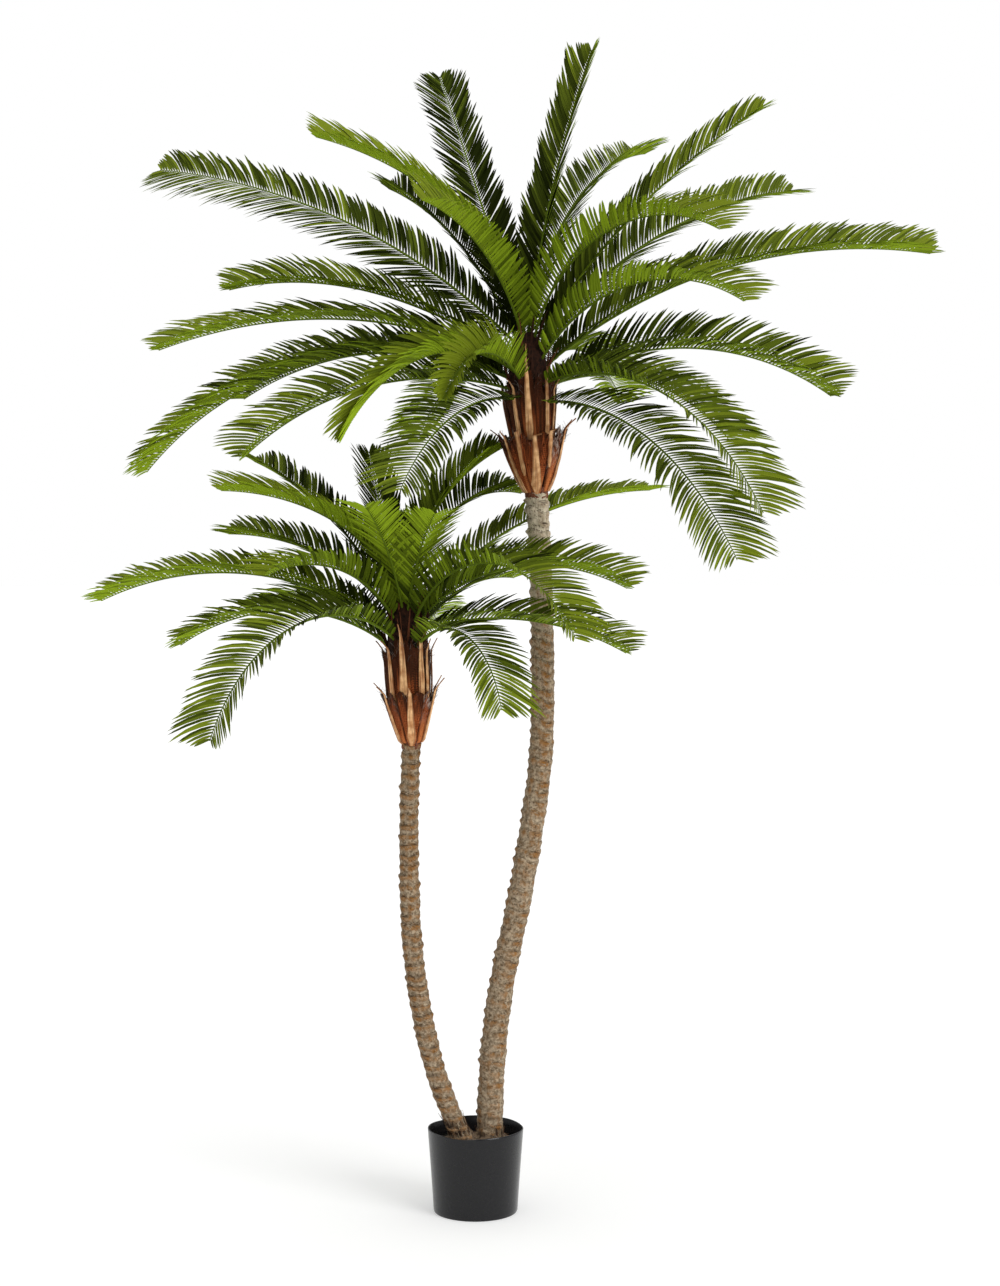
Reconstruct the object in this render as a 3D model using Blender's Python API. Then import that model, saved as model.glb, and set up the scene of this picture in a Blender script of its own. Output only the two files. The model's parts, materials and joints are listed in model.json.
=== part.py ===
"""Two-stemmed artificial sago palm standing in a plain nursery pot.

Metres, +Z up, the pot's flat underside on z = 0 under its own axis. The side seen in the
picture faces -Y. Each stem carries a fibrous leaf sheath in two tiers round a core, and
feather fronds that leave the core. A frond here is its keeled rib and one coarse tooth
for each group of leaflets.
"""

import math

import bmesh
import bpy
from mathutils import Vector
from mathutils.bvhtree import BVHTree

for old in list(bpy.data.objects):
    bpy.data.objects.remove(old, do_unlink=True)

# Driving dimensions
GAP = 0.0003
POT_RIM_RADIUS = 0.0982
POT_HEIGHT = 0.170
FILL_TOP = 0.137
STEM_FOOT = FILL_TOP + GAP
RING_SPACING = 0.047
TOOTH_SPACING = 0.038
TALL_LEAFLET = 0.112
SHORT_LEAFLET = 0.102
SWEEP_AT_ROOT = 60.0
SWEEP_AT_TIP = 34.0
RIB_HALF_WIDTH = 0.0034
RIB_DEPTH = 0.0062
CLEAR = 0.0012

# Each stem: foot x and y, top height, radius at the foot and the top, lean towards +X in
# degrees by height, lean away from the viewer
TALL_STEM = (0.0287, 0.014, 1.469, 0.0265, 0.0222, 0.8,
             ((0.13, 0), (0.30, 4), (0.55, 13), (0.68, 10), (0.85, 8), (1.0, 1), (1.47, -4)))
SHORT_STEM = (-0.0215, -0.014, 0.959, 0.0218, 0.0182, -1.2,
              ((0.13, -25), (0.24, -21), (0.34, -13), (0.50, -7), (0.62, -2), (0.96, 3)))

# Sheath core of each stem: lean towards +X, then height above the stem and radius
TALL_CORE = (-4.0, ((0.0, 0.0190), (0.05, 0.0290), (0.10, 0.0370), (0.16, 0.0420), (0.22, 0.0430),
                    (0.27, 0.0390), (0.31, 0.0300), (0.33, 0.0180)))
SHORT_CORE = (-3.0, ((0.0, 0.0155), (0.04, 0.0235), (0.09, 0.0340), (0.14, 0.0395), (0.19, 0.0400),
                     (0.24, 0.0350), (0.275, 0.0250), (0.29, 0.0140)))

# Sheath tiers: bottom, rim between the leaf bases, tips, then outer radius by height
TALL_LOWER = (0.002, 0.112, 0.142,
              ((0.0, 0.0222), (0.03, 0.0385), (0.072, 0.0560), (0.10, 0.0650), (0.145, 0.0860)))
TALL_UPPER = (0.085, 0.170, 0.210,
              ((0.085, 0.0372), (0.12, 0.0455), (0.17, 0.0525), (0.235, 0.0560)))
SHORT_LOWER = (0.002, 0.096, 0.128,
               ((0.0, 0.0174), (0.05, 0.0405), (0.088, 0.0535), (0.13, 0.0740)))
SHORT_UPPER = (0.070, 0.150, 0.198,
               ((0.07, 0.0324), (0.11, 0.0430), (0.16, 0.0500), (0.20, 0.0660)))
BOOTS = 5
FIRST_BOOT = 270.0
SHEATH_WALL = 0.0021

# Fronds: compass heading (0 is +X, 90 away from the viewer), height of the root on the
# core's axis above the stem, rise at the root, droop from root to tip, length, bend (under
# 1 it bends early), raise of both leaflet rows into a V, roll of the frond to its right
TALL_FRONDS = (
    (155, 0.285, 44, 36, 0.985, 0.9, 30, -45),
    (204, 0.292, 86, 76, 0.63, 0.62, 42, -15),
    (115, 0.285, 57, 4, 0.74, 1.0, 12, 0),
    (244, 0.285, 60, 56, 0.51, 0.7, 20, 10),
    (132, 0.270, 58, 38, 0.56, 1.1, 25, -20),
    (185, 0.268, 30, 45, 0.62, 1.5, 42, -22),
    (192, 0.248, 28, 50, 0.76, 0.85, 40, -22),
    (172, 0.220, 24, 75, 0.86, 0.95, 40, -20),
    (200, 0.205, 14, 58, 0.60, 1.0, 40, -20),
    (226, 0.228, 28, 84, 0.54, 0.85, 30, -10),
    (250, 0.205, 27, 72, 0.475, 1.1, 25, 0),
    (235, 0.190, 4, 60, 0.46, 1.0, 25, -15),
    (46, 0.304, 80, 16, 0.64, 1.0, 35, 0),
    (8, 0.285, 58, 25, 0.71, 1.0, 27, 10),
    (316, 0.270, 70, 98, 0.61, 0.95, 35, 10),
    (60, 0.250, 80, 71, 0.72, 0.75, 35, 0),
    (30, 0.265, 50, 44, 0.79, 1.1, 40, 20),
    (4, 0.235, 40, 48, 0.88, 1.0, 45, 30),
    (323, 0.235, 52, 84, 0.56, 1.0, 35, 10),
    (350, 0.196, 31, 68, 0.63, 1.0, 50, 30),
    (309, 0.213, 15, 72, 0.73, 0.9, 40, 10),
    (307, 0.186, 2, 58, 0.69, 0.9, 25, 20),
    (150, 0.225, 22, 50, 0.70, 1.0, 35, -10),
    (95, 0.240, 46, 50, 0.76, 1.0, 35, 0),
    (110, 0.205, 22, 60, 0.74, 1.0, 35, 0),
    (72, 0.215, 28, 60, 0.72, 1.0, 35, 0),
    (48, 0.205, 18, 54, 0.68, 1.0, 35, 10),
)
SHORT_FRONDS = (
    (170, 0.215, 34, 60, 0.66, 1.0, 24, -5),
    (205, 0.240, 78, 78, 0.49, 0.62, 35, -10),
    (140, 0.225, 56, 38, 0.52, 1.0, 30, 0),
    (158, 0.220, 53, 54, 0.45, 0.8, 30, -10),
    (220, 0.215, 54, 78, 0.35, 1.0, 30, 0),
    (183, 0.172, 38, 74, 0.46, 0.9, 26, -8),
    (231, 0.190, 34, 100, 0.63, 0.9, 35, -10),
    (124, 0.245, 68, 0, 0.33, 1.0, 15, 0),
    (256, 0.248, 56, 36, 0.33, 1.0, 15, 0),
    (286, 0.240, 58, 34, 0.29, 1.0, 15, 0),
    (30, 0.256, 86, 62, 0.405, 0.9, 35, 5),
    (44, 0.232, 82, 92, 0.43, 0.9, 35, 10),
    (28, 0.212, 57, 56, 0.64, 0.75, 28, 5),
    (345, 0.210, 54, 82, 0.50, 0.8, 30, 5),
    (309, 0.205, 58, 112, 0.59, 0.85, 35, 0),
    (58, 0.205, 34, 40, 0.40, 1.0, 30, 0),
    (344, 0.222, 17, 46, 0.46, 1.0, 28, 5),
    (303, 0.172, 36, 112, 0.39, 1.0, 20, 0),
    (125, 0.190, 28, 50, 0.56, 1.0, 30, 0),
    (85, 0.190, 26, 54, 0.56, 1.0, 30, 0),
    (100, 0.220, 46, 50, 0.54, 1.0, 30, 0),
)


# Shared shape rules
def between(x, pairs):
    """The value at x on the straight lines through the pairs."""
    if x <= pairs[0][0]:
        return pairs[0][1]
    for (x0, y0), (x1, y1) in zip(pairs, pairs[1:]):
        if x <= x1:
            return y0 + (y1 - y0) * (x - x0) / (x1 - x0)
    return pairs[-1][1]


def add_node(name, points, faces, colour, rough):
    """One closed solid with its own material."""
    mesh = bpy.data.meshes.new(name)
    mesh.from_pydata([tuple(p) for p in points], [], faces)
    mesh.validate()
    work = bmesh.new()
    work.from_mesh(mesh)
    bmesh.ops.recalc_face_normals(work, faces=work.faces)
    bmesh.ops.triangulate(work, faces=work.faces)
    work.to_mesh(mesh)
    work.free()
    paint = bpy.data.materials.new(name)
    paint.use_nodes = True
    shader = paint.node_tree.nodes["Principled BSDF"]
    shader.inputs["Base Color"].default_value = (*colour, 1.0)
    shader.inputs["Roughness"].default_value = rough
    mesh.materials.append(paint)
    node = bpy.data.objects.new(name, mesh)
    bpy.context.scene.collection.objects.link(node)
    return node


def loft(rings, closed_ends=True):
    """Points and faces of a skin over rings of equal count."""
    count = len(rings[0])
    points = [p for ring in rings for p in ring]
    faces = []
    for level in range(len(rings) - 1):
        for k in range(count):
            a = level * count + k
            b = level * count + (k + 1) % count
            faces.append((a, b, b + count, a + count))
    if closed_ends:
        faces.append(tuple(reversed(range(count))))
        last = (len(rings) - 1) * count
        faces.append(tuple(range(last, last + count)))
    return points, faces


def stem_centre(stem, height):
    """Centre of a stem at a height, from its lean."""
    foot_x, foot_y, top, _, _, back, leans = stem
    x = foot_x
    steps = 24
    for step in range(steps):
        z = STEM_FOOT + (height - STEM_FOOT) * (step + 0.5) / steps
        x += math.tan(math.radians(between(z, leans))) * (height - STEM_FOOT) / steps
    y = foot_y + math.tan(math.radians(back)) * (height - STEM_FOOT)
    return Vector((x, y, height))


def stem_radius(stem, height):
    """Taper with a slight swelling every few leaf scars."""
    share = (height - STEM_FOOT) / (stem[2] - STEM_FOOT)
    radius = stem[3] + (stem[4] - stem[3]) * share
    return radius * (1.0 + 0.025 * math.sin(height * 61.0 + stem[0] * 40.0))


def level_ring(centre, radius, sides, turn=0.0):
    """A horizontal ring."""
    ring = []
    for k in range(sides):
        angle = math.tau * k / sides + turn
        ring.append(centre + Vector((radius * math.cos(angle), radius * math.sin(angle), 0.0)))
    return ring


def build_stem(name, stem, sides=12):
    """A tapering stem from its flat foot on the fill to the sheath."""
    top = stem[2]
    count = max(3, round((top - STEM_FOOT) / RING_SPACING))
    rings = []
    for level in range(count + 1):
        height = STEM_FOOT + (top - STEM_FOOT) * level / count
        radius = stem_radius(stem, height)
        rings.append(level_ring(stem_centre(stem, height), radius, sides))
    points, faces = loft(rings)
    return add_node(name, points, faces, (0.30, 0.25, 0.19), 0.85)


# Nursery pot: one thin tapering wall up to a plain edge, flat underside
pot_profile = (
    (0.0, 0.0), (0.0825, 0.0), (0.0860, 0.0035), (0.0868, 0.0100), (POT_RIM_RADIUS, 0.1688),
    (0.0976, POT_HEIGHT), (0.0962, POT_HEIGHT), (0.0955, 0.1688), (0.0846, 0.0125),
    (0.0830, 0.0030), (0.0, 0.0030),
)
pot_rings = [level_ring(Vector((0.0, 0.0, z)), r, 36) for r, z in pot_profile if r > 0.0]
points, faces = loft(pot_rings)
add_node("pot", points, faces, (0.028, 0.028, 0.030), 0.45)

# Heavy fill, 0.3 mm clear of the pot all round
fill_rings = []
for radius, z in ((0.0825, 0.0033), (0.0841, 0.0125), (0.0885, 0.0700), (0.0931, FILL_TOP)):
    fill_rings.append(level_ring(Vector((0.0, 0.0, z)), radius - 0.0006, 36))
points, faces = loft(fill_rings)
add_node("pot_fill", points, faces, (0.03, 0.025, 0.02), 0.95)

# The two stems
build_stem("stem_tall", TALL_STEM)
build_stem("stem_short", SHORT_STEM)

# Bark mound round the two feet, cut clear of them
mound_rings = []
for radius, z in ((0.0780, 0.0), (0.0770, 0.0035), (0.0600, 0.0080), (0.0400, 0.0118)):
    ring = level_ring(Vector((0.002, 0.0, FILL_TOP + GAP + z)), radius, 28)
    for k, point in enumerate(ring):
        if z > 0.0:
            point.z += 0.0011 * math.sin(k * 2.4 + z * 900.0)
            point.x *= 1.0 + 0.03 * math.sin(k * 1.7)
    mound_rings.append(ring)
points, faces = loft(mound_rings)
mound = add_node("root_mound", points, faces, (0.16, 0.11, 0.08), 0.9)
for name, stem in (("mound_cut_tall", TALL_STEM), ("mound_cut_short", SHORT_STEM)):
    centre_low = stem_centre(stem, STEM_FOOT)
    centre_high = stem_centre(stem, 0.19)
    lower = level_ring(centre_low - (centre_high - centre_low) * 0.4, stem[3] + 0.0016, 16)
    upper = level_ring(centre_high, stem[3] + 0.0016, 16)
    points, faces = loft([lower, upper])
    cutter = add_node(name, points, faces, (0.5, 0.5, 0.5), 0.5)
    cutter.hide_render = True
    cutter.display_type = "WIRE"
    cut = mound.modifiers.new(name, "BOOLEAN")
    cut.operation = "DIFFERENCE"
    cut.solver = "EXACT"
    cut.object = cutter


# Sheath cores and tiers
def core_frame(stem, lean):
    """Foot of the core and its leaning axis."""
    foot = stem_centre(stem, stem[2]) + Vector((0.0, 0.0, GAP))
    axis = Vector((math.sin(math.radians(lean)), 0.0, math.cos(math.radians(lean))))
    across = Vector((0.0, 1.0, 0.0)).cross(axis).normalized()
    return foot, axis, across, axis.cross(across)


def on_core(frame, angle, radius, height):
    """Point beside the core's axis at a heading, a radius and a height."""
    foot, axis, across, away = frame
    side = across * math.cos(math.radians(angle)) + away * math.sin(math.radians(angle))
    return foot + axis * height + side * radius


def build_core(name, stem, core):
    """The brown fibrous core that the fronds leave."""
    frame = core_frame(stem, core[0])
    rings = []
    for height, radius in core[1]:
        rings.append([on_core(frame, 360.0 * k / 16, radius, height) for k in range(16)])
    for point in rings[0]:
        point.z = frame[0].z
    points, faces = loft(rings)
    return add_node(name, points, faces, (0.12, 0.05, 0.025), 0.9)


def build_tier(name, stem, core, tier):
    """A cup of pointed leaf bases joined by a web with a scalloped rim."""
    bottom, rim, tips, radii = tier
    frame = core_frame(stem, core[0])
    per_boot = 6
    sides = BOOTS * per_boot
    levels = 5
    outer = []
    inner = []
    for level in range(levels):
        out_ring = []
        in_ring = []
        for k in range(sides):
            angle = FIRST_BOOT + 360.0 * k / sides
            place = k % per_boot
            from_rib = min(place, per_boot - place) / (per_boot / 2)
            top = rim + (tips - rim) * (1.0 - from_rib) ** 2
            height = bottom + (top - bottom) * level / (levels - 1)
            radius = between(height, radii) + (0.0020 if from_rib == 0.0 and level < 4 else 0.0)
            out_ring.append(on_core(frame, angle, radius, height))
            in_ring.append(on_core(frame, angle, between(height, radii) - SHEATH_WALL, height))
        outer.append(out_ring)
        inner.append(in_ring)
    rings = outer + inner[::-1]
    points, faces = loft(rings, closed_ends=False)
    last = (len(rings) - 1) * sides
    for k in range(sides):
        faces.append((last + k, last + (k + 1) % sides, (k + 1) % sides, k))
    return add_node(name, points, faces, (0.22, 0.09, 0.04), 0.9)


build_core("tall_crown_core", TALL_STEM, TALL_CORE)
build_core("short_crown_core", SHORT_STEM, SHORT_CORE)
build_tier("tall_sheath_lower", TALL_STEM, TALL_CORE, TALL_LOWER)
build_tier("tall_sheath_upper", TALL_STEM, TALL_CORE, TALL_UPPER)
build_tier("short_sheath_lower", SHORT_STEM, SHORT_CORE, SHORT_LOWER)
build_tier("short_sheath_upper", SHORT_STEM, SHORT_CORE, SHORT_UPPER)


# Fronds
def rib_line(frame, reach, frond, steps):
    """Rib stations as (point, tangent, across, up), from the core's skin to the tip."""
    heading, root, rise, droop, length, bend, fold, roll = frond
    place = on_core(frame, 0.0, 0.0, root)
    turn = math.radians(heading)
    level = Vector((math.cos(turn), math.sin(turn), 0.0))
    start = level * math.cos(math.radians(rise)) + Vector((0.0, 0.0, math.sin(math.radians(rise))))
    place = place + start * reach
    stations = []
    fine = 6
    for step in range(steps * fine + 1):
        share = step / (steps * fine)
        tilt = math.radians(rise - droop * share ** bend)
        along = level * math.cos(tilt) + Vector((0.0, 0.0, math.sin(tilt)))
        up = level * -math.sin(tilt) + Vector((0.0, 0.0, math.cos(tilt)))
        across = along.cross(up)
        if step % fine == 0:
            rolled = up * math.cos(math.radians(roll)) + across * math.sin(math.radians(roll))
            stations.append((place.copy(), along, along.cross(rolled), rolled, fold))
        place = place + along * (length / (steps * fine))
    return stations


def leaflet_length(share, longest):
    """Leaflets grow from the bare stalk, stay long, and shorten to the blunt tip."""
    if share < 0.07:
        return 0.0
    grown = min(1.0, 0.45 + (share - 0.07) * 3.2)
    fading = min(1.0, 0.48 + (1.0 - share) * 3.6)
    return longest * grown * fading


def leaflet_way(station, side, share):
    """Direction of a leaflet: swept to the tip and raised in a V."""
    _, along, across, up, fold = station
    sweep = math.radians(SWEEP_AT_ROOT + (SWEEP_AT_TIP - SWEEP_AT_ROOT) * share)
    lift = math.radians(fold)
    out = across * (side * math.cos(lift)) + up * math.sin(lift)
    return along * math.cos(sweep) + out * math.sin(sweep)


def tree_of(parts):
    """Search tree over a list of (points, triangles)."""
    points = []
    faces = []
    for some_points, some_faces in parts:
        start = len(points)
        points.extend(some_points)
        faces.extend([tuple(i + start for i in face) for face in some_faces])
    return BVHTree.FromPolygons(points, faces)


def skin_reach(core_tree, frame, frond):
    """Distance along the frond's first direction from the axis to just off the core."""
    heading, root, rise, droop, length, bend, fold, roll = frond
    place = on_core(frame, 0.0, 0.0, root)
    turn = math.radians(heading)
    way = Vector((math.cos(turn) * math.cos(math.radians(rise)),
                  math.sin(turn) * math.cos(math.radians(rise)), math.sin(math.radians(rise))))
    hit = core_tree.ray_cast(place + way * 0.4, -way)
    return way, (hit[0] - place).length


def rib_section(station, share):
    """Left, right and keel point of the rib."""
    point, _, across, up, _ = station
    half = RIB_HALF_WIDTH * (1.0 - 0.66 * share)
    deep = RIB_DEPTH * (1.0 - 0.66 * share)
    return point - across * half, point + across * half, point - up * deep


def plan_frond(stem, core, core_tree, frond):
    """Stations and rib points of a frond, its foot laid on the core's skin."""
    frame = core_frame(stem, core[0])
    way, reach = skin_reach(core_tree, frame, frond)
    steps = max(9, round(frond[4] / TOOTH_SPACING))
    stations = rib_line(frame, reach + 0.004, frond, steps)
    sections = [list(rib_section(s, k / steps)) for k, s in enumerate(stations)]
    hits = [core_tree.ray_cast(corner + way * 0.05, -way)[0] for corner in sections[0]]
    for lift in range(1, 40):
        for corner, hit in enumerate(hits):
            if hit is not None and (hit - sections[0][corner]).length < 0.03:
                sections[0][corner] = hit + way * (GAP * (0.5 + 0.5 * lift))
        if not core_tree.overlap(tree_of([rib_faces(sections[:2])])):
            break
    return stations, sections


def rib_faces(sections):
    """Closed three-sided rib, as points and triangles."""
    points, faces = loft([[s[0], s[2], s[1]] for s in sections])
    triangles = []
    for face in faces:
        for k in range(1, len(face) - 1):
            triangles.append((face[0], face[k], face[k + 1]))
    return points, triangles


def tooth_probe(base, tip, grow):
    """A slightly fatter copy of a tooth, for the clearance test."""
    middle = sum(base, Vector()) / 4
    wide = [middle + (p - middle) * 0.90 + (p - middle).normalized() * grow for p in base]
    way = (tip - middle).normalized()
    wide = [p + way * 0.004 for p in wide]
    normal = (base[1] - base[0]).cross(way).normalized()
    ends = [tip + way * grow + normal * grow, tip + way * grow - normal * grow]
    points = wide + ends
    faces = [(0, 1, 4), (1, 2, 4), (2, 3, 5), (3, 0, 5), (0, 4, 5), (2, 5, 4)]
    return points, faces


def mesh_parts(names):
    """Evaluated points and triangles of finished nodes."""
    bpy.context.view_layer.update()
    graph = bpy.context.evaluated_depsgraph_get()
    parts = []
    for name in names:
        seen = bpy.data.objects[name].evaluated_get(graph)
        mesh = seen.to_mesh()
        mesh.calc_loop_triangles()
        points = [v.co.copy() for v in mesh.vertices]
        parts.append((points, [tuple(t.vertices) for t in mesh.loop_triangles]))
        seen.to_mesh_clear()
    return parts


plans = []
for crown, stem, core, fronds in (
    ("tall", TALL_STEM, TALL_CORE, TALL_FRONDS),
    ("short", SHORT_STEM, SHORT_CORE, SHORT_FRONDS),
):
    core_tree = tree_of(mesh_parts([crown + "_crown_core"]))
    for number, frond in enumerate(fronds, 1):
        stations, sections = plan_frond(stem, core, core_tree, frond)
        plans.append((f"{crown}_frond_{number:02d}", stations, sections))

solid_names = ["pot", "pot_fill", "stem_tall", "stem_short", "tall_crown_core", "short_crown_core",
               "tall_sheath_lower", "tall_sheath_upper", "short_sheath_lower", "short_sheath_upper"]
standing = mesh_parts(solid_names)
ribs = [rib_faces(sections) for _, _, sections in plans]

teeth_done = []
for index, (name, stations, sections) in enumerate(plans):
    others = tree_of(standing + [r for k, r in enumerate(ribs) if k != index] + teeth_done)
    own = []
    steps = len(stations) - 1
    points = [p for s in sections for p in (s[0], s[2], s[1])]
    faces = []
    for k in range(steps):
        a = 3 * k
        b = a + 3
        faces.append((a + 2, a, b, b + 2))
        for side in (-1, 1):
            share = (k + 0.5) / steps
            longest = TALL_LEAFLET if name.startswith("tall") else SHORT_LEAFLET
            size = leaflet_length(share, longest)
            if side < 0:
                quad = (a, a + 1, b + 1, b)
            else:
                quad = (a + 1, a + 2, b + 2, b + 1)
            grown = False
            if size > 0.0:
                way = leaflet_way(stations[k], side, share)
                middle = (sections[k][0 if side < 0 else 1] + sections[k + 1][0 if side < 0 else 1]) / 2
                base = [points[i] for i in quad]
                for cut in (1.0, 0.8, 0.6, 0.42):
                    tip = middle + way * (size * cut)
                    probe = tooth_probe(base, tip, CLEAR)
                    if not others.overlap(tree_of([probe])):
                        grown = True
                        break
            if grown:
                apex = len(points)
                points.append(tip)
                for m in range(4):
                    faces.append((quad[m], quad[(m + 1) % 4], apex))
                spike = [(0, 1, 4), (1, 2, 4), (2, 3, 4), (3, 0, 4)]
                own.append(([points[i] for i in quad] + [tip], spike))
            else:
                faces.append(quad)
    last = 3 * steps
    faces.append((0, 2, 1))
    faces.append((last, last + 1, last + 2))
    teeth_done.extend(own)
    add_node(name, points, faces, (0.06, 0.16, 0.04), 0.5)
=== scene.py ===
"""Looks of the potted two-stemmed artificial sago palm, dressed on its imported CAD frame."""

import json
import math
import random

import bpy
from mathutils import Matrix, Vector, noise
from mathutils.bvhtree import BVHTree

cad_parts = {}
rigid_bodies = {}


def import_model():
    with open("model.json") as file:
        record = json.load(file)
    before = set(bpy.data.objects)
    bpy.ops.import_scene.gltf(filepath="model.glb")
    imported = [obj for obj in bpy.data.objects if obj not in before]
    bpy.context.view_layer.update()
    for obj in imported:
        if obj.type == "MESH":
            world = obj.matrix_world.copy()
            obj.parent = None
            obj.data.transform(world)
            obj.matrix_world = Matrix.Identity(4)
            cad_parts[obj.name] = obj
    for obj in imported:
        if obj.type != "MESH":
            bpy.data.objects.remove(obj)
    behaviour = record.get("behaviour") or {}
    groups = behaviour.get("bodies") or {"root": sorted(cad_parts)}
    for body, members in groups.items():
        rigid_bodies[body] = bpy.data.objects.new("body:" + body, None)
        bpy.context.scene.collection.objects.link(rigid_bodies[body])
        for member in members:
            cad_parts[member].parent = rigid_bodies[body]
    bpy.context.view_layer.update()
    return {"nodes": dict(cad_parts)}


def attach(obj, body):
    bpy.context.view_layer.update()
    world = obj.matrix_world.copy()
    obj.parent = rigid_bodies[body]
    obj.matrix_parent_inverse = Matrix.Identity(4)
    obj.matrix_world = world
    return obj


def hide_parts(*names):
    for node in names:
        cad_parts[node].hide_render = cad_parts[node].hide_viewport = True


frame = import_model()
scene = bpy.context.scene
scene.view_settings.view_transform = "Standard"


# Camera: a level view camera at chest height, five metres in front of the pot. Its lens is
# shifted down to take in the pot, so both stems stay upright in the picture.
bpy.ops.object.camera_add(location=(0.05, -5.0, 1.44), rotation=(math.radians(90.0), 0.0, 0.0))
camera = bpy.context.object
camera.name = "camera"
camera.data.sensor_fit = "VERTICAL"
camera.data.sensor_height = 36.0
camera.data.lens = 68.33
camera.data.shift_y = -0.1058
scene.camera = camera


# Studio: a white sweep seen as floor and backdrop. The light is a white tent, brighter above
# than at the sides, and one broad low lamp on the right that throws a faint shadow.
bpy.ops.mesh.primitive_circle_add(vertices=64, radius=40.0, fill_type="NGON")
floor = bpy.context.object
floor.name = "studio_floor"
floor_paint = bpy.data.materials.new("studio_white")
floor_paint.use_nodes = True
floor_shader = floor_paint.node_tree.nodes["Principled BSDF"]
floor_shader.inputs["Base Color"].default_value = (0.76, 0.76, 0.76, 1.0)
floor_shader.inputs["Roughness"].default_value = 0.9
floor_shader.inputs["Specular IOR Level"].default_value = 0.1
floor_shader.inputs["Emission Color"].default_value = (1.0, 1.0, 1.0, 1.0)
floor_shader.inputs["Emission Strength"].default_value = 0.29
floor.data.materials.append(floor_paint)

tent = bpy.data.worlds.new("light_tent")
scene.world = tent
tent.use_nodes = True
tent_nodes = tent.node_tree.nodes
tent_links = tent.node_tree.links
backdrop = tent_nodes["Background"]
backdrop.inputs["Color"].default_value = (1.0, 1.0, 1.0, 1.0)
backdrop.inputs["Strength"].default_value = 1.0
tent_way = tent_nodes.new("ShaderNodeTexCoord")
tent_axes = tent_nodes.new("ShaderNodeSeparateXYZ")
tent_fall = tent_nodes.new("ShaderNodeMapRange")
tent_fall.inputs["From Min"].default_value = -0.1
tent_fall.inputs["From Max"].default_value = 0.9
tent_fall.inputs["To Min"].default_value = 0.40
tent_fall.inputs["To Max"].default_value = 1.26
tent_light = tent_nodes.new("ShaderNodeBackground")
tent_seen = tent_nodes.new("ShaderNodeLightPath")
tent_mix = tent_nodes.new("ShaderNodeMixShader")
tent_links.new(tent_way.outputs["Generated"], tent_axes.inputs["Vector"])
tent_links.new(tent_axes.outputs["Z"], tent_fall.inputs["Value"])
tent_links.new(tent_fall.outputs["Result"], tent_light.inputs["Strength"])
tent_links.new(tent_seen.outputs["Is Camera Ray"], tent_mix.inputs["Fac"])
tent_links.new(tent_light.outputs["Background"], tent_mix.inputs[1])
tent_links.new(backdrop.outputs["Background"], tent_mix.inputs[2])
tent_links.new(tent_mix.outputs["Shader"], tent_nodes["World Output"].inputs["Surface"])

bpy.ops.object.light_add(type="SUN", rotation=(math.radians(67.0), 0.0, math.radians(45.0)))
key = bpy.context.object
key.name = "soft_lamp"
key.data.energy = 1.8
key.data.angle = math.radians(32.0)


# Nursery pot: one thin moulded plastic shell, charcoal and satin, a little out of round at its
# plain edge. It stands flat on the floor and replaces the CAD pot.
def new_pattern(name, *inputs):
    """An empty node group with number inputs, and a mask and a height to put out."""
    group = bpy.data.node_groups.new(name, "ShaderNodeTree")
    for socket in inputs:
        group.interface.new_socket(socket, in_out="INPUT", socket_type="NodeSocketFloat")
    for socket in ("Mask", "Height"):
        group.interface.new_socket(socket, in_out="OUTPUT", socket_type="NodeSocketFloat")
    return group, group.nodes.new("NodeGroupInput"), group.nodes.new("NodeGroupOutput")


def speckle_group():
    """Fine grain shared by plastic, bark, fill and fibre."""
    group, inlet, outlet = new_pattern("fine_grain", "Scale", "Softness")
    nodes = group.nodes
    links = group.links
    place = nodes.new("ShaderNodeTexCoord")
    grain = nodes.new("ShaderNodeTexNoise")
    grain.inputs["Detail"].default_value = 5.0
    links.new(place.outputs["Object"], grain.inputs["Vector"])
    links.new(inlet.outputs["Scale"], grain.inputs["Scale"])
    links.new(inlet.outputs["Softness"], grain.inputs["Roughness"])
    spread = nodes.new("ShaderNodeMapRange")
    spread.inputs["From Min"].default_value = 0.35
    spread.inputs["From Max"].default_value = 0.65
    links.new(grain.outputs["Fac"], spread.inputs["Value"])
    links.new(spread.outputs["Result"], outlet.inputs["Mask"])
    links.new(grain.outputs["Fac"], outlet.inputs["Height"])
    return group


fine_grain = speckle_group()


def new_paint(name, colour, rough, gloss=0.5):
    """A Principled material with its own plain colour, roughness and gloss."""
    paint = bpy.data.materials.new(name)
    paint.use_nodes = True
    shader = paint.node_tree.nodes["Principled BSDF"]
    shader.inputs["Base Color"].default_value = (*colour, 1.0)
    shader.inputs["Roughness"].default_value = rough
    shader.inputs["Specular IOR Level"].default_value = gloss
    return paint, shader


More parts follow.
